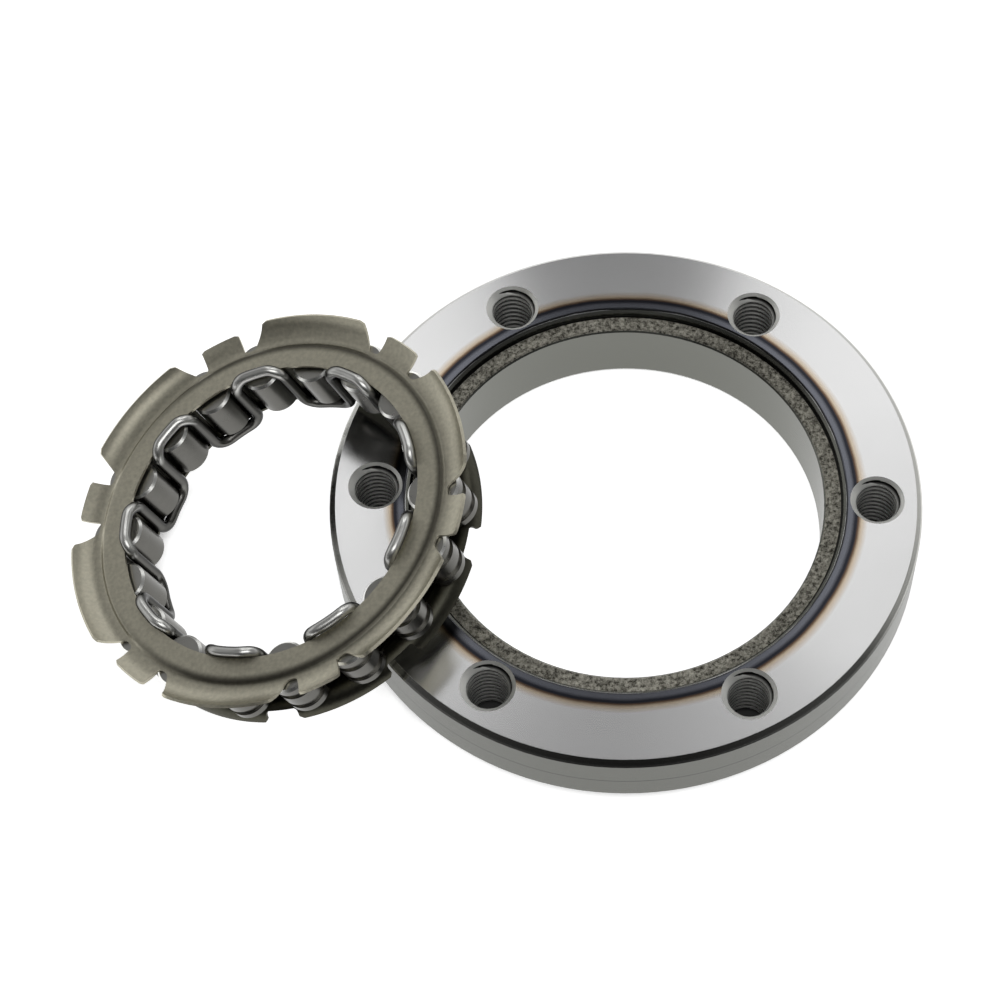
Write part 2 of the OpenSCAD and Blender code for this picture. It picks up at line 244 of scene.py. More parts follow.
def add(tree, kind, inputs=None, **settings):
    """Adds a node, sets its attributes, sets or links its inputs, and returns its first output in use."""
    node = tree.nodes.new(kind)
    for name, value in settings.items():
        setattr(node, name, value)
    for name, value in (inputs or {}).items():
        if isinstance(value, bpy.types.NodeSocket):
            tree.links.new(value, node.inputs[name])
        else:
            node.inputs[name].default_value = value
    return next((socket for socket in node.outputs if socket.enabled), None)


def new_material(name):
    """An empty metal material: itself, its tree and its shader."""
    material = bpy.data.materials.new(name)
    material.use_nodes = True
    tree = material.node_tree
    shader = tree.nodes["Principled BSDF"]
    shader.inputs["Metallic"].default_value = 1.0
    return material, tree, shader


def cage_matrix():
    """The cage's own frame, from its joints: origin on the front plate, Z out of it, X through a sprag."""
    joints = {j["name"]: j for j in frame["joints"]}
    pivots = [Vector(j["pos_m"]) for name, j in joints.items() if name.startswith("rock_")]
    middle = sum(pivots, Vector()) / len(pivots)
    axis = Vector(joints["cage_lift"]["axis"]).normalized()
    out = (Vector(joints["rock_01"]["pos_m"]) - middle).normalized()
    origin = middle + axis * CAGE_DEPTH / 2
    turn = Matrix((out, axis.cross(out), axis)).transposed().to_4x4()
    return Matrix.Translation(origin) @ turn


def new_object(name, data, material, body):
    """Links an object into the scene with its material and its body."""
    obj = bpy.data.objects.new(name, data)
    bpy.context.scene.collection.objects.link(obj)
    data.materials.append(material)
    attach(obj, body)
    return obj


def new_mesh(name, mesh):
    """A smooth mesh block from a bmesh, which is freed."""
    data = bpy.data.meshes.new(name)
    mesh.normal_update()
    mesh.to_mesh(data)
    mesh.free()
    data.shade_smooth()
    return data


def bridge(mesh, low, high, skip=()):
    """Faces between two closed rings of as many points, apart from the columns to skip."""
    for k in range(len(low)):
        j = (k + 1) % len(low)
        if k not in skip:
            mesh.faces.new((low[k], high[k], high[j], low[j]))


def polar(radius, angle, height):
    """A point from its radius, angle and height."""
    return Vector((radius * math.cos(angle), radius * math.sin(angle), height))


def between(tree, value, low, high):
    """1 where a value lies between two limits, else 0."""
    above = add(tree, "ShaderNodeMath", {0: value, 1: low}, operation="GREATER_THAN")
    below = add(tree, "ShaderNodeMath", {0: value, 1: high}, operation="LESS_THAN")
    return add(tree, "ShaderNodeMath", {0: above, 1: below}, operation="MULTIPLY")


def heat_tint(tree, s, radius, cloud):
    """Colour of the ground face, from the recess out: painted shade, a painted highlight on the step's edge,
    painted shade, blue, navy, straw, bare steel.
    """
    stray = add(tree, "ShaderNodeMath", {0: cloud, 1: 2 * s.tint_waver, 2: -s.tint_waver},
                operation="MULTIPLY_ADD")
    edge = add(tree, "ShaderNodeMath", {0: radius, 1: stray}, operation="ADD")
    across = add(tree, "ShaderNodeMapRange",
                 {"Value": edge, "From Min": s.tint_start, "From Max": s.tint_end})
    tint = add(tree, "ShaderNodeValToRGB", {"Fac": across})
    # Each band's share of the way across the tint
    # The near-black bands are painted shade by the step, and the bare-steel band between them is a painted
    # highlight on its edge
    bands = ((0.0, s.shade_and_line_black), (0.05, s.shade_and_line_black), (0.065, s.steel), (0.09, s.steel), (0.11, s.shade_and_line_black),
             (0.19, s.blue), (0.32, s.blue), (0.45, s.navy), (0.52, s.navy), (0.59, s.straw),
             (0.69, s.fade), (0.95, s.steel))
    stops = tint.node.color_ramp.elements
    for k, (share, colour) in enumerate(bands):
        stop = stops[k] if k < 2 else stops.new(share)
        stop.position = share
        stop.color = linear(colour)
    return tint


def turned_side(tree, s, radius, height):
    """Colour of the side with fine turning lines and one deeper line round it, and the lines' relief."""
    on_side = add(tree, "ShaderNodeMath", {0: radius, 1: s.rim - s.side_depth}, operation="GREATER_THAN")
    away = add(tree, "ShaderNodeMath", {0: height, 1: s.line_height}, operation="SUBTRACT")
    away = add(tree, "ShaderNodeMath", {0: away}, operation="ABSOLUTE")
    deep = add(tree, "ShaderNodeMapRange",
               {"Value": away, "From Max": s.line_width, "To Min": 0.8, "To Max": 0.0})
    lines = add(tree, "ShaderNodeTexNoise",
                {"W": height, "Scale": 1 / s.turning, "Detail": 4.0, "Roughness": 0.8},
                noise_dimensions="1D")
    fine = add(tree, "ShaderNodeMapRange",
               {"Value": lines, "From Min": 0.35, "From Max": 0.65, "To Max": 0.5})
    dark = add(tree, "ShaderNodeMath", {0: deep, 1: fine}, operation="MAXIMUM")
    dark = add(tree, "ShaderNodeMath", {0: dark, 1: on_side}, operation="MULTIPLY")
    colour = add(tree, "ShaderNodeMix", {FACTOR: dark, FIRST: linear(s.turned), SECOND: linear(s.shade_and_line_black)},
                 data_type="RGBA")
    # A quarter of the shelf's relief is as much as the side's cutting marks show
    relief = add(tree, "ShaderNodeMath", {0: lines, 1: on_side}, operation="MULTIPLY")
    relief = add(tree, "ShaderNodeMath", {0: relief, 1: 0.25}, operation="MULTIPLY")
    return colour, relief


def rim_bevel(tree, s, radius, height):
    """1 on the rim's bevel, and its colour: mid-grey, with a painted highlight on its lower edge."""
    over = add(tree, "ShaderNodeMath", {0: height, 1: s.height - s.bevel}, operation="GREATER_THAN")
    outside = add(tree, "ShaderNodeMath", {0: radius, 1: s.rim - s.bevel}, operation="GREATER_THAN")
    on_bevel = add(tree, "ShaderNodeMath", {0: over, 1: outside}, operation="MULTIPLY")
    upper = add(tree, "ShaderNodeMath", {0: height, 1: s.height - s.bevel_highlight_depth}, operation="GREATER_THAN")
    colour = add(tree, "ShaderNodeMix",
                 {FACTOR: upper, FIRST: linear(s.bevel_low_highlight), SECOND: linear(s.edge_steel)}, data_type="RGBA")
    return on_bevel, colour


def ground_steel(s):
    """Hardened bearing steel, ground on its face, turned on its side and heat-tinted where the raceway was
    hardened by induction. The eye sees a near-white satin face with bright lobes and dark gaps between them,
    a grey side with fine lines under a black bevel whose lower edge has a painted highlight, a ring of brown,
    navy and blue with painted shade and a painted highlight by the step, a wall painted near black as shade,
    and a grainy shelf above a smooth grey raceway."""
    material, tree, shader = new_material("bearing_steel_ground_and_turned")
    # The marks run round the axis, which stretches a lamp's reflection across them
    tangent = add(tree, "ShaderNodeTangent", direction_type="RADIAL", axis="Z")
    tree.links.new(tangent, shader.inputs["Tangent"])
    shader.inputs["Anisotropic"].default_value = s.stretch
    shader.inputs["Anisotropic Rotation"].default_value = 0.25
    place = add(tree, "ShaderNodeTexCoord").node.outputs["Object"]
    xyz = add(tree, "ShaderNodeSeparateXYZ", {0: place}).node.outputs
    height = xyz[2]
    level = add(tree, "ShaderNodeCombineXYZ", {0: xyz[0], 1: xyz[1]})
    radius = add(tree, "ShaderNodeVectorMath", {0: level}, operation="LENGTH").node.outputs["Value"]
    cloud = add(tree, "ShaderNodeTexNoise", {"Vector": place, "Scale": 1 / s.cloud, "Detail": 4.0})
    side, side_relief = turned_side(tree, s, radius, height)
    on_face = add(tree, "ShaderNodeMath", {0: height, 1: s.height - FACE_BAND}, operation="GREATER_THAN")
    colour = add(tree, "ShaderNodeMix",
                 {FACTOR: on_face, FIRST: side, SECOND: heat_tint(tree, s, radius, cloud)}, data_type="RGBA")
    on_bevel, bevel = rim_bevel(tree, s, radius, height)
    colour = add(tree, "ShaderNodeMix", {FACTOR: on_bevel, FIRST: colour, SECOND: bevel}, data_type="RGBA")
    # The real grains of scale are about 0.1 mm, and are drawn five times as coarse, so that they show
    grit = add(tree, "ShaderNodeTexNoise",
               {"Vector": place, "Scale": 1 / s.grit, "Detail": 5.0, "Roughness": 0.7})
    bright = add(tree, "ShaderNodeMapRange", {"Value": grit, "From Min": 0.38, "From Max": 0.68})
    shelf = add(tree, "ShaderNodeMix", {FACTOR: bright, FIRST: linear(s.scale), SECOND: linear(s.shelf)},
                data_type="RGBA")
    on_shelf = between(tree, radius, s.shelf_inner, s.shelf_outer)
    colour = add(tree, "ShaderNodeMix", {FACTOR: on_shelf, FIRST: colour, SECOND: shelf}, data_type="RGBA")
    # Painted shade: the recess's wall is coloured near black
    on_wall = between(tree, radius, s.shelf_outer, s.recess - EDGE_GAP)
    colour = add(tree, "ShaderNodeMix", {FACTOR: on_wall, FIRST: colour, SECOND: linear(s.shade_and_line_black)},
                 data_type="RGBA")
    tree.links.new(colour, shader.inputs["Base Color"])
    # Satin all over, dull on the shelf, and smooth on the bevel, so that it mirrors the dark studio in front
    rough = add(tree, "ShaderNodeMapRange", {"Value": cloud, "To Min": 0.21, "To Max": 0.24})
    rough = add(tree, "ShaderNodeMix", {"Factor": on_shelf, "A": rough, "B": 0.5})
    rough = add(tree, "ShaderNodeMix", {"Factor": on_bevel, "A": rough, "B": 0.1})
    tree.links.new(rough, shader.inputs["Roughness"])
    # The shelf's grains stand up to 0.06 mm out
    relief = add(tree, "ShaderNodeMath", {0: grit, 1: on_shelf, 2: side_relief}, operation="MULTIPLY_ADD")
    bump = add(tree, "ShaderNodeBump", {"Strength": 0.5, "Distance": 0.06 * MM, "Height": relief})
    tree.links.new(bump, shader.inputs["Normal"])
    return material


def tapped_steel(s):
    """Bearing steel, cut by a tap. The eye sees black roots between bright crests and bevels: the roots are
    painted shade and the crests and bevels a painted highlight, told apart by a layer of the mesh."""
    material, tree, shader = new_material("bearing_steel_tapped")
    thread_highlight = add(tree, "ShaderNodeAttribute", attribute_name="thread_highlight").node.outputs["Fac"]
    # The third power keeps the painted highlight to the crests and leaves the flanks to the painted shade
    thread_highlight = add(tree, "ShaderNodeMath", {0: thread_highlight, 1: 3.0}, operation="POWER")
    colour = add(tree, "ShaderNodeMix",
                 {FACTOR: thread_highlight, FIRST: linear(s.thread_root_shade), SECOND: linear(s.thread_steel)},
                 data_type="RGBA")
    tree.links.new(colour, shader.inputs["Base Color"])
    place = add(tree, "ShaderNodeTexCoord").node.outputs["Object"]
    haze = add(tree, "ShaderNodeTexNoise", {"Vector": place, "Scale": 1 / s.haze, "Detail": 3.0})
    rough = add(tree, "ShaderNodeMapRange", {"Value": haze, "To Min": 0.5, "To Max": 0.6})
    tree.links.new(rough, shader.inputs["Roughness"])
    return material


def satin_steel(name, colour, mottle, spread, roughness, dent):
    """Steel with a mottle of one size in its colour, its sheen and its relief, as tumbling, grinding or
    drawing leaves it. The real specks are under 0.1 mm, and are drawn as coarse as they need to be to show.
    The spread is the share by which the colour varies, and the dent is how deep the specks go."""
    material, tree, shader = new_material(name)
    place = add(tree, "ShaderNodeTexCoord").node.outputs["Object"]
    specks = add(tree, "ShaderNodeTexNoise", {"Vector": place, "Scale": 1 / mottle, "Detail": 5.0})
    base = linear(colour)
    dark = (*(v * (1 - spread) for v in base[:3]), 1.0)
    light = (*(v * (1 + spread) for v in base[:3]), 1.0)
    mixed = add(tree, "ShaderNodeMix", {FACTOR: specks, FIRST: dark, SECOND: light}, data_type="RGBA")
    tree.links.new(mixed, shader.inputs["Base Color"])
    rough = add(tree, "ShaderNodeMapRange",
                {"Value": specks, "To Min": roughness[0], "To Max": roughness[1]})
    tree.links.new(rough, shader.inputs["Roughness"])
    bump = add(tree, "ShaderNodeBump", {"Strength": 0.25, "Distance": dent, "Height": specks})
    tree.links.new(bump, shader.inputs["Normal"])
    return material, tree, shader


def tumbled_sheet(s):
    """The front plate's material, with painted shade along its crease."""
    # Pressed strip, tumbled: the eye sees a dull, warm grey with a soft sheen and no clear reflection
    material, tree, shader = satin_steel(
        "sheet_steel_tumbled", s.steel, s.mottle, spread=0.3, roughness=(0.38, 0.5), dent=0.03 * MM)
    place = cage_matrix()
    here = add(tree, "ShaderNodeTexCoord").node.outputs["Object"]
    out = add(tree, "ShaderNodeVectorMath", {0: here, 1: place.translation}, operation="SUBTRACT")
    cross = add(tree, "ShaderNodeVectorMath", {0: out, 1: place.col[2].xyz}, operation="CROSS_PRODUCT")
    radius = add(tree, "ShaderNodeVectorMath", {0: cross}, operation="LENGTH").node.outputs["Value"]
    away = add(tree, "ShaderNodeMath", {0: radius, 1: s.crease_shade_radius}, operation="SUBTRACT")
    away = add(tree, "ShaderNodeMath", {0: away}, operation="ABSOLUTE")
    # Painted shade darkens the crease, and fades out towards the left
    trace = add(tree, "ShaderNodeMapRange",
                {"Value": away, "From Max": s.crease_shade_width, "To Min": s.crease_shade, "To Max": 0.0},
                interpolation_type="SMOOTHSTEP")
    across = add(tree, "ShaderNodeSeparateXYZ", {0: out}).node.outputs["X"]
    kept = add(tree, "ShaderNodeMapRange",
               {"Value": across, "From Min": -s.front_crease, "From Max": -s.front_crease / 3},
               interpolation_type="SMOOTHSTEP")
    crease_shade = add(tree, "ShaderNodeMath", {0: trace, 1: kept}, operation="MULTIPLY")
    bare = shader.inputs["Base Color"].links[0].from_socket
    colour = add(tree, "ShaderNodeMix", {FACTOR: crease_shade, FIRST: bare, SECOND: linear(s.crease_shade_colour)},
                 data_type="RGBA")
    tree.links.new(colour, shader.inputs["Base Color"])
    return material


def shaded_sheet(s):
    """The material of the rear plate and the crossbars, made once."""
    name = "sheet_steel_tumbled_shaded"
    if name not in bpy.data.materials:
        # The same strip, its colour darkened as painted shade between and behind the plates: the eye sees it
        # nearly black, with a sheen on its edges
        satin_steel(name, s.rear_shade_colour, s.mottle, spread=0.3, roughness=(0.3, 0.42), dent=0.03 * MM)
    return bpy.data.materials[name]


def sprag_steel(s):
    """The sprags' material: sides, ground ends, and the bevels round the ends with a painted highlight."""
    # Drawn bar, hardened and ground: the eye sees smooth dark sides with soft lines of light along them, flat
    # pale ends, partly their ground finish and partly painted light, and bright edges between the two, which
    # are a painted highlight
    material, tree, shader = satin_steel(
        "sprag_steel_hardened", s.steel, s.mottle, spread=0.12, roughness=(0.24, 0.34), dent=0.01 * MM)
    facing = add(tree, "ShaderNodeNewGeometry").node.outputs["Normal"]
    along = add(tree, "ShaderNodeVectorMath", {0: facing, 1: cage_matrix().col[2].xyz},
                operation="DOT_PRODUCT").node.outputs["Value"]
    # A surface's slope tells what it is: its normal's share along the cage's axis is 0 on the sides, about
    # 0.7 on the bevels and 1 on the ends
    # Painted highlight on the bevels, and the ends' paler colour, partly painted light
    bevel = add(tree, "ShaderNodeMapRange", {"Value": along, "From Min": 0.5, "From Max": 0.7})
    sides = shader.inputs["Base Color"].links[0].from_socket
    colour = add(tree, "ShaderNodeMix", {FACTOR: bevel, FIRST: sides, SECOND: linear(s.edges)},
                 data_type="RGBA")
    end = add(tree, "ShaderNodeMath", {0: along, 1: 0.9}, operation="GREATER_THAN")
    colour = add(tree, "ShaderNodeMix", {FACTOR: end, FIRST: colour, SECOND: linear(s.ends)},
                 data_type="RGBA")
    tree.links.new(colour, shader.inputs["Base Color"])
    return material


def spring_steel(s, place):
    """The wire's material in the cage's own frame, with a painted highlight on its front loops and painted
    shade along its outline.
    """
    # Drawn wire, polished: the eye sees narrow bright lines along a grey wire
    material, tree, shader = satin_steel(
        "spring_steel_drawn_polished", s.steel, s.mottle, spread=0.06, roughness=(0.28, 0.34),
        dent=0.005 * MM)
    axis = place.col[2].xyz
    level = axis.dot(place.translation)
    here = add(tree, "ShaderNodeTexCoord").node.outputs["Object"]
    along = add(tree, "ShaderNodeVectorMath", {0: here, 1: axis},
                operation="DOT_PRODUCT").node.outputs["Value"]
    # Painted highlight: the front loops, which stand out of the plate, are coloured nearly white
    front = add(tree, "ShaderNodeMapRange",
                {"Value": along, "From Min": level - s.painted_bright_depth, "From Max": level})
    drawn = shader.inputs["Base Color"].links[0].from_socket
    colour = add(tree, "ShaderNodeMix", {FACTOR: front, FIRST: drawn, SECOND: linear(s.painted_bright)},
                 data_type="RGBA")
    # Painted shade: the wire is darkened where it turns away from the eye, which gives each loop a dark
    # outline
    turned_away = add(tree, "ShaderNodeLayerWeight", {"Blend": 0.5}).node.outputs["Facing"]
    outline_shade_mask = add(tree, "ShaderNodeMapRange", {"Value": turned_away, "From Min": 0.1, "From Max": 0.55})
    colour = add(tree, "ShaderNodeMix", {FACTOR: outline_shade_mask, FIRST: colour, SECOND: linear(s.outline_shade)},
                 data_type="RGBA")
    tree.links.new(colour, shader.inputs["Base Color"])
    return material


def repaint(node, material):
    """Gives a CAD node one material."""
    data = frame["nodes"][node].data
    data.materials.clear()
    data.materials.append(material)


def thread_mesh(s, name):
    """The threads of all the tapped holes: each a surface r(angle, height), cut back by the bevels at its
    mouths. Its layer for painted light is 0 in the roots, which are painted shade, and 1 on the crests and
    the bevels, which carry a painted highlight."""
    around = 48
    rows_per_turn = 12
    rows = int(round(s.height / s.thread_pitch * rows_per_turn))
    root_flat, flank = 0.12, 0.64  # shares of half a pitch
    wall_gap = 0.03 * MM  # keeps the roots off the hole's plain wall
    root = s.thread_major - wall_gap
    depth = s.thread_major - s.thread_minor
    mesh = bmesh.new()
    thread_highlight = mesh.verts.layers.float.new("thread_highlight")
    for hole in range(s.hole_count):
        centre = polar(s.hole_circle, s.hole_phase + hole * math.tau / s.hole_count, 0.0)
        below = None
        for row in range(rows + 1):
            height = s.height * row / rows
            bevel = s.countersink - EDGE_GAP - min(height, s.height - height)
            ring = []
            for k in range(around):
                turn = (height / s.thread_pitch - k / around) % 1.0
                tooth = max(0.0, min(1.0, (abs(turn - 0.5) * 2 - root_flat) / flank))
                radius = root - depth * tooth
                ring.append(mesh.verts.new(centre + polar(max(radius, bevel), math.tau * k / around, height)))
                ring[-1][thread_highlight] = 1.0 if bevel > radius else tooth
            if below:
                bridge(mesh, below, ring)
            below = ring
    return new_mesh(name, mesh)


def plate_rows(inner, crease, step, root):
    """(radius, height) down a plate's front face, with the step eased at both ends."""
    land = 1.0 * MM
    # Distance out from each end of the step, and how far the sheet has bent away there, in mm
    head = ((-0.25, 0.0), (-0.05, 0.02), (0.1, 0.1))
    foot = ((-0.1, 0.1), (0.05, 0.02), (0.2, 0.0))
    down = [(crease + out * MM, -bent * MM) for out, bent in head]
    down += [(crease + step + out * MM, bent * MM - step) for out, bent in foot]
    return [(inner, 0.0), (inner + land, 0.0), (crease - land, 0.0), *down, (root, -step)]


def lip_height(radius, root, tip, rise, step):
    """Height of a lip that leaves the valley level and curves up to its tip as an arc."""
    run = tip - root
    up = rise + step
    arc = (run * run + up * up) / (2 * up)
    out = max(0.0, min(radius - root, run))
    return -step + arc - math.sqrt(max(arc * arc - out * out, 0.0))


def tab_half_angle(tab, radius, notch, fillet):
    """Half the angle that a tab covers at a radius: it tapers, and its root is filleted into the notch."""
    share = (radius - notch) / (tab["tip"] - notch)
    near = max(0.0, fillet - (radius - notch))
    flare = fillet - math.sqrt(fillet * fillet - near * near)
    return (tab["root_angle"] + (tab["tip_angle"] - tab["root_angle"]) * share) / 2 + flare / radius


def flared_plate(name, s, rows, root, notch, tabs):
    """A plate from its rows (radius, height), with a lip from root to notch and tabs beyond the notch."""
    gap_columns = 3  # between two tabs
    lip_rows = 4
    lip = [root + (notch - root) * k / lip_rows for k in range(1, lip_rows + 1)] if notch > root else []
    angles = []
    owners = []
    for tab, following in zip(tabs, tabs[1:] + tabs[:1]):
        half = tab_half_angle(tab, notch, notch, s.fillet)
        start = tab["angle"] + half
        stop = following["angle"] - tab_half_angle(following, notch, notch, s.fillet)
        stop += math.tau if following is tabs[0] else 0.0
        angles += [tab["angle"] + half * (2 * j / tab["columns"] - 1) for j in range(tab["columns"] + 1)]
        angles += [start + (stop - start) * (j + 1) / (gap_columns + 1) for j in range(gap_columns)]
        owners += [tab] * (tab["columns"] + 1 + gap_columns)
    mesh = bmesh.new()
    grid = [[mesh.verts.new(polar(r, a, z)) for a in angles] for r, z in rows]
    grid += [[mesh.verts.new(polar(r, a, lip_height(r, root, tab["tip"], tab["rise"], s.step)))
              for a, tab in zip(angles, owners)] for r in lip]
    for low, high in zip(grid, grid[1:]):
        bridge(mesh, low, high)
    start = 0
    for tab in tabs:
        add_tab(mesh, s, tab, grid[-1][start:start + tab["columns"] + 1], root, notch)
        start += tab["columns"] + 1 + gap_columns
    return new_mesh(name, mesh)


def add_tab(mesh, s, tab, last, root, notch):
    """Carries a tab on from a row of points at the notch to its tip, with rounded corners."""
    count = tab["columns"]
    tip_half = tab_half_angle(tab, tab["tip"], notch, s.fillet) * tab["tip"]
    # The rows stand closer together by the root, where the fillet curves most
    for share in (0.04, 0.09, 0.15, 0.23, 0.33, 0.45, 0.58, 0.72, 0.86, 1.0):
        ring = []
        for j in range(count + 1):
            across = 2 * j / count - 1
            cut = max(0.0, s.corner - (1 - abs(across)) * tip_half)
            reach = tab["tip"] - s.corner + math.sqrt(max(s.corner * s.corner - cut * cut, 0.0))
            radius = notch + (reach - notch) * share
            angle = tab["angle"] + across * tab_half_angle(tab, radius, notch, s.fillet)
            ring.append(mesh.verts.new(
                polar(radius, angle, lip_height(radius, root, tab["tip"], tab["rise"], s.step))))
        for k in range(count):
            mesh.faces.new((last[k], ring[k], ring[k + 1], last[k + 1]))
        last = ring


def sheet_piece(name, data, material, thickness):
    """A pressed piece of the cage: its thickness goes behind the modelled face, its edges are rounded."""
    piece = new_object(name, data, material, "cage")
    sheet = piece.modifiers.new("sheet", "SOLIDIFY")
    sheet.thickness = thickness
    sheet.offset = -1.0
    edges = piece.modifiers.new("edges", "BEVEL")
    edges.width = SHEET_EDGE
    edges.segments = 2
    edges.limit_method = "ANGLE"
    edges.angle_limit = math.radians(40)
    edges.harden_normals = True
    return piece


def crossbar_mesh(s, name):
    """The band between the plates, with one window round each sprag."""
    outer = s.bar_radius + s.bar_sheet / 2
    half_pitch = math.pi / SPRAG_COUNT
    window = s.bar_radius * math.sin(half_pitch) - s.bar_width / 2
    window_half = math.asin(window / s.bar_radius)
    bar = 2 * (half_pitch - window_half)
    across_window = (-1.0, -0.5, 0.0, 0.5)  # shares of its half width
    across_bar = (0.0, 0.33, 0.67)
    angles = []
    open_columns = set()
    for k in range(SPRAG_COUNT):
        middle = 2 * half_pitch * k
        open_columns |= set(range(len(angles), len(angles) + len(across_window)))
        angles += [middle + window_half * share for share in across_window]
        angles += [middle + window_half + bar * share for share in across_bar]
    heights = (-s.sheet / 2, -s.window_top, -s.window_base, s.sheet - CAGE_DEPTH)
    mesh = bmesh.new()
    rings = [[mesh.verts.new(polar(outer, a, z)) for a in angles] for z in heights]
    bridge(mesh, rings[0], rings[1])
    bridge(mesh, rings[1], rings[2], skip=open_columns)
    bridge(mesh, rings[2], rings[3])
    return new_mesh(name, mesh)


def spring_path(s):
    """Points along the closed wire: loops in front and behind in turn, with rounded corners."""
    half = math.pi / s.loops
    bend = 2 * math.asin(s.corner / 2 / s.path_radius)
    corner_steps = 12
    rounding = [math.radians(90 * j / corner_steps) for j in range(corner_steps + 1)]
    points = []
    for k in range(s.loops):
        up = 1 if k % 2 == 0 else -1
        level = s.front if up > 0 else -s.rear
        lap = s.lap if up > 0 else 0.0
        middle = k * 2 * half
        for side, bends in ((-1, rounding), (1, rounding[::-1])):
            for a in bends:
                angle = middle + side * (half - bend * (1 - math.cos(a)))
                # The fourth power starts the lap only when the wire is clear of the plate's inner edge
                radius = s.path_radius + lap * math.sin(a) ** 4
                points.append(polar(radius, angle, level - up * s.corner * (1 - math.sin(a))))
            if side < 0:
                points += [polar(s.path_radius + lap, middle + (half - bend) * t / 4, level)
                           for t in range(-3, 4)]
    return points


class CLUTCH_OT_race(bpy.types.Operator):
    """Finishes the outer race and cuts the threads of its holes"""
    bl_idname = "clutch.race"
    bl_label = "Outer race"

    def execute(self, context):
        s = context.scene.clutch_race
        repaint("outer_race", ground_steel(s))
        new_object("threads", thread_mesh(s, "threads"), tapped_steel(s), "race")
        return {"FINISHED"}


class CLUTCH_OT_front(bpy.types.Operator):
    """Builds the cage's front plate with its flared tabs and its crossbars"""
    bl_idname = "clutch.front"
    bl_label = "Front plate"

    def execute(self, context):
        s = context.scene.clutch_cage
        wide = {"root_angle": s.wide_root_angle, "tip_angle": s.wide_tip_angle,
                "tip": s.wide_tip, "rise": s.wide_rise, "columns": 28}
        narrow = {"root_angle": s.narrow_root_angle, "tip_angle": s.narrow_tip_angle,
                  "tip": s.narrow_tip, "rise": s.narrow_rise, "columns": 12}
        tabs = []
        for k in range(TAB_PAIRS):
            tabs.append({"angle": k * math.tau / TAB_PAIRS, **wide})
            tabs.append({"angle": (k + 0.5) * math.tau / TAB_PAIRS, **narrow})
        rows = plate_rows(s.inner, s.front_crease, s.step, s.front_root)
        data = flared_plate("front_plate", s, rows, s.front_root, s.front_root, tabs)
        data.transform(cage_matrix())
        plate = sheet_piece("front_plate", data, tumbled_sheet(s), s.sheet)
        bars = crossbar_mesh(s, "crossbars")
        bars.transform(cage_matrix())
        # The crossbars take the rear plate's colour, darkened as painted shade
        sheet_piece("crossbars", bars, shaded_sheet(s), s.bar_sheet)
        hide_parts("cage_front")
        return {"FINISHED"}


class CLUTCH_OT_rear(bpy.types.Operator):
    """Builds the cage's rear plate with its notched rim"""
    bl_idname = "clutch.rear"
    bl_label = "Rear plate"

    def execute(self, context):
        s = context.scene.clutch_cage
        width = math.tau / REAR_TABS - s.rear_notch_angle
        tabs = [{"angle": s.rear_phase + k * math.tau / REAR_TABS, "root_angle": width, "tip_angle": width,
                 "tip": s.rear_tip, "rise": s.rear_rise, "columns": 28} for k in range(REAR_TABS)]
        rows = plate_rows(s.inner, s.rear_crease, s.step, s.rear_root)
        data = flared_plate("rear_plate", s, rows, s.rear_root, s.rear_notch, tabs)
        # The rear plate is made facing up like the front one, and is then mirrored down to its place
        data.transform(Matrix.Translation((0, 0, -CAGE_DEPTH)) @ Matrix.Scale(-1, 4, (0, 0, 1)))
        data.flip_normals()
        data.transform(cage_matrix())
        plate = sheet_piece("rear_plate", data, shaded_sheet(s), s.sheet)
        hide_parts("cage_rear")
        return {"FINISHED"}


class CLUTCH_OT_sprags(bpy.types.Operator):
    """Finishes the sprags"""
    bl_idname = "clutch.sprags"
    bl_label = "Sprags"

    def execute(self, context):
        steel = sprag_steel(context.scene.clutch_sprags)
        for name in frame["nodes"]:
            if name.startswith("sprag_"):
                repaint(name, steel)
        return {"FINISHED"}


class CLUTCH_OT_spring(bpy.types.Operator):
    """Bends the meander spring from one closed wire"""
    bl_idname = "clutch.spring"
    bl_label = "Meander spring"

    def execute(self, context):
        s = context.scene.clutch_spring
        place = cage_matrix()
        points = spring_path(s)
        curve = bpy.data.curves.new("meander_spring", "CURVE")
        curve.dimensions = "3D"
        curve.bevel_depth = s.wire / 2
        curve.bevel_resolution = 6
        spline = curve.splines.new("POLY")
        spline.points.add(len(points) - 1)
        for point, co in zip(spline.points, points):
            point.co = (*(place @ co), 1.0)
        spline.use_cyclic_u = True
        wire = new_object("meander_spring", curve, spring_steel(s, place), "cage")
        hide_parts("spring")
        return {"FINISHED"}


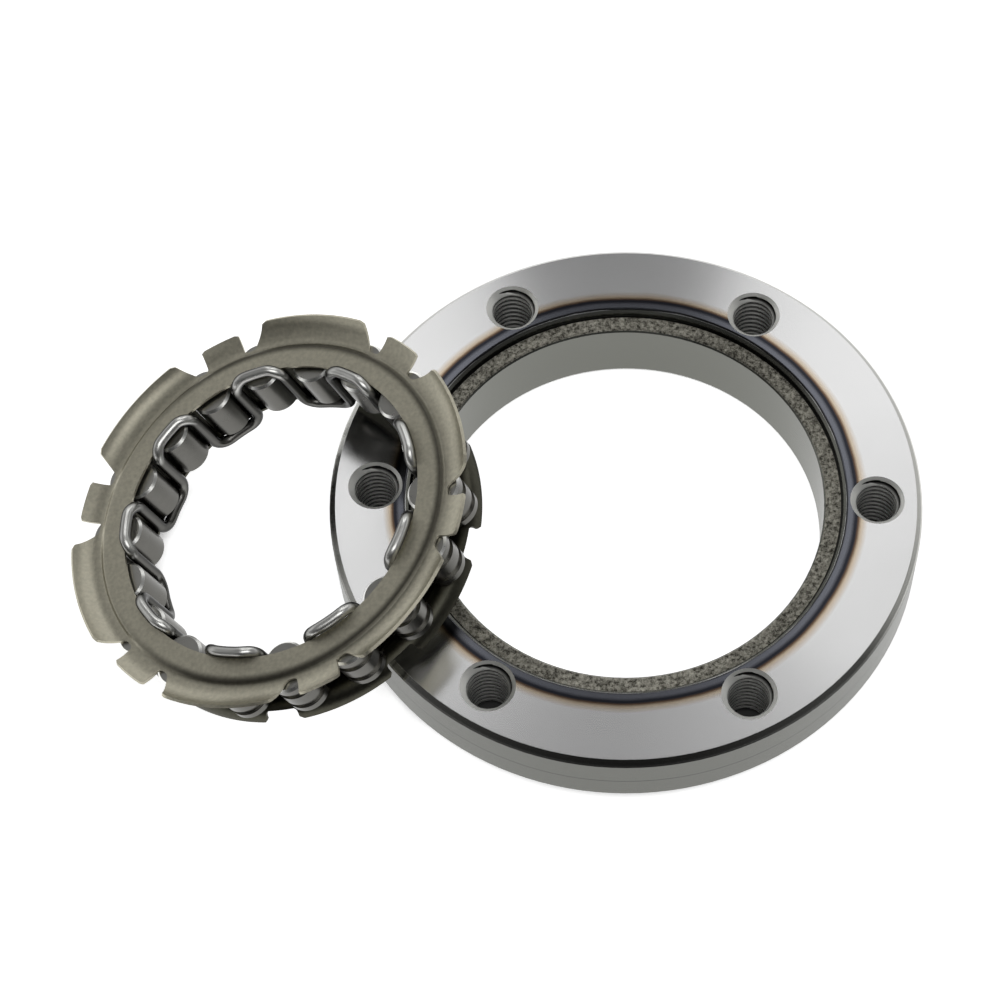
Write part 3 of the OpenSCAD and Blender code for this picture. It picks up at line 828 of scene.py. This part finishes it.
class CLUTCH_OT_stage(bpy.types.Operator):
    """Sets the floor, the lights and the camera"""
    bl_idname = "clutch.stage"
    bl_label = "Stage"

    def execute(self, context):
        s = context.scene.clutch_stage
        scene = context.scene
        scene.view_settings.view_transform = "Standard"
        self.floor(s)
        self.world(scene, s)
        # The face mirrors the gap between the two softboxes as the dark band down its middle
        for side, name in ((-1, "softbox_left"), (1, "softbox_right")):
            place = (side * s.lamp_side - s.lamp_shift, s.lamp_depth, s.lamp_height)
            self.lamp(name, place, s.lamp_width, s.lamp_length, s.lamp_power)
        place = (s.top_side, -s.top_front, s.top_height)
        self.lamp("softbox_top", place, s.top_width, s.top_length, s.top_power)
        camera = bpy.data.cameras.new("camera")
        camera.sensor_width = 36.0
        camera.lens = s.lens
        camera.shift_x = s.shift
        camera.clip_end = 10.0
        holder = bpy.data.objects.new("camera", camera)
        holder.location = s.camera_place
        holder.rotation_euler = (s.camera_tilt, 0.0, 0.0)
        scene.collection.objects.link(holder)
        scene.camera = holder
        return {"FINISHED"}

    def shown(self, tree):
        """1 for the rays that show a surface: straight, mirrored or through glass."""
        path = add(tree, "ShaderNodeLightPath").node.outputs
        seen = add(tree, "ShaderNodeMath", {0: path["Is Camera Ray"], 1: path["Is Glossy Ray"]},
                   operation="MAXIMUM")
        return add(tree, "ShaderNodeMath", {0: seen, 1: path["Is Transmission Ray"]}, operation="MAXIMUM")

    def floor(self, s):
        """Lays the floor and gives it its paper."""
        mesh = bmesh.new()
        bmesh.ops.create_grid(mesh, x_segments=1, y_segments=1, size=2.0)
        data = bpy.data.meshes.new("floor")
        mesh.to_mesh(data)
        mesh.free()
        # Matt white paper: the eye sees plain white, with a soft shadow only close under the object
        material = bpy.data.materials.new("paper_sweep_white")
        material.use_nodes = True
        tree = material.node_tree
        shader = tree.nodes["Principled BSDF"]
        shader.inputs["Roughness"].default_value = 0.9
        shader.inputs["Emission Color"].default_value = (1.0, 1.0, 1.0, 1.0)
        # Where the object hides most of the air within 20 mm, the paper turns dark and stops glowing
        open_air = add(tree, "ShaderNodeAmbientOcclusion", {"Distance": 0.02}, samples=8).node.outputs["AO"]
        lit = add(tree, "ShaderNodeMapRange", {"Value": open_air, "From Min": 0.12, "From Max": 0.35})
        paper = add(tree, "ShaderNodeMix", {FACTOR: lit, FIRST: linear(s.shade), SECOND: linear(s.paper)},
                    data_type="RGBA")
        tree.links.new(paper, shader.inputs["Base Color"])
        glow = add(tree, "ShaderNodeMath", {0: self.shown(tree), 1: lit}, operation="MULTIPLY")
        glow = add(tree, "ShaderNodeMath", {0: glow, 1: s.floor_glow}, operation="MULTIPLY")
        tree.links.new(glow, shader.inputs["Emission Strength"])
        data.materials.append(material)
        obj = bpy.data.objects.new("floor", data)
        bpy.context.scene.collection.objects.link(obj)

    def world(self, scene, s):
        """A studio round the object: pale and low behind it, dark overhead and in front."""
        world = bpy.data.worlds.new("studio")
        scene.world = world
        world.use_nodes = True
        tree = world.node_tree
        tree.nodes.clear()
        way = add(tree, "ShaderNodeTexCoord").node.outputs["Generated"]
        way = add(tree, "ShaderNodeSeparateXYZ", {0: way}).node.outputs
        # The pale part fades out from 24 to 41 degrees over the horizon, where a direction's Z is 0.4 to 0.66
        low = add(tree, "ShaderNodeMapRange", {"Value": way[2], "From Min": 0.66, "From Max": 0.4},
                  interpolation_type="SMOOTHSTEP")
        behind = add(tree, "ShaderNodeMapRange", {"Value": way[1], "From Min": -0.3, "From Max": 0.15},
                     interpolation_type="SMOOTHSTEP")
        pale = add(tree, "ShaderNodeMath", {0: low, 1: behind}, operation="MULTIPLY")
        # Behind the camera the dark part is nearly black, and the race's smooth bevel mirrors it
        dim = add(tree, "ShaderNodeMapRange",
                  {"Value": way[1], "From Min": -0.95, "From Max": -0.4, "To Min": 0.02, "To Max": s.ceiling})
        strength = add(tree, "ShaderNodeMapRange", {"Value": pale, "To Min": dim, "To Max": s.sweep})
        light = add(tree, "ShaderNodeBackground", {"Strength": strength})
        add(tree, "ShaderNodeOutputWorld", {0: light})

    def lamp(self, name, place, width, length, power):
        """Hangs a softbox that faces the origin."""
        light = bpy.data.lights.new(name, "AREA")
        light.shape = "RECTANGLE"
        light.size = width
        light.size_y = length
        light.energy = power
        obj = bpy.data.objects.new(name, light)
        obj.location = place
        obj.rotation_euler = (-Vector(place)).to_track_quat("-Z", "Y").to_euler()
        bpy.context.scene.collection.objects.link(obj)


class CLUTCH_PT_panel(bpy.types.Panel):
    """Lists the clutch's pieces and their sizes"""
    bl_label = "Starter Clutch"
    bl_idname = "CLUTCH_PT_panel"
    bl_space_type = "VIEW_3D"
    bl_region_type = "UI"
    bl_category = "Clutch"

    def draw(self, context):
        for operator, settings in PIECES:
            box = self.layout.box()
            box.operator(operator.bl_idname)
            group = getattr(context.scene, settings)
            for name in group.bl_rna.properties.keys():
                if name not in {"rna_type", "name"}:
                    box.prop(group, name)


SETTINGS = {
    "clutch_race": RaceSettings,
    "clutch_cage": CageSettings,
    "clutch_spring": SpringSettings,
    "clutch_sprags": SpragSettings,
    "clutch_stage": StageSettings,
}
PIECES = (
    (CLUTCH_OT_race, "clutch_race"),
    (CLUTCH_OT_front, "clutch_cage"),
    (CLUTCH_OT_rear, "clutch_cage"),
    (CLUTCH_OT_sprags, "clutch_sprags"),
    (CLUTCH_OT_spring, "clutch_spring"),
    (CLUTCH_OT_stage, "clutch_stage"),
)


def register():
    """Registers the settings, the operators and the panel."""
    for name, group in SETTINGS.items():
        bpy.utils.register_class(group)
        setattr(bpy.types.Scene, name, bpy.props.PointerProperty(type=group))
    for operator, _ in PIECES:
        bpy.utils.register_class(operator)
    bpy.utils.register_class(CLUTCH_PT_panel)


def unregister():
    """Takes back what register did."""
    bpy.utils.unregister_class(CLUTCH_PT_panel)
    for operator, _ in reversed(PIECES):
        bpy.utils.unregister_class(operator)
    for name, group in SETTINGS.items():
        delattr(bpy.types.Scene, name)
        bpy.utils.unregister_class(group)


def main():
    """Registers the add-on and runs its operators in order."""
    register()
    for operator, _ in PIECES:
        group, name = operator.bl_idname.split(".")
        getattr(getattr(bpy.ops, group), name)()


if __name__ == "__main__":
    main()
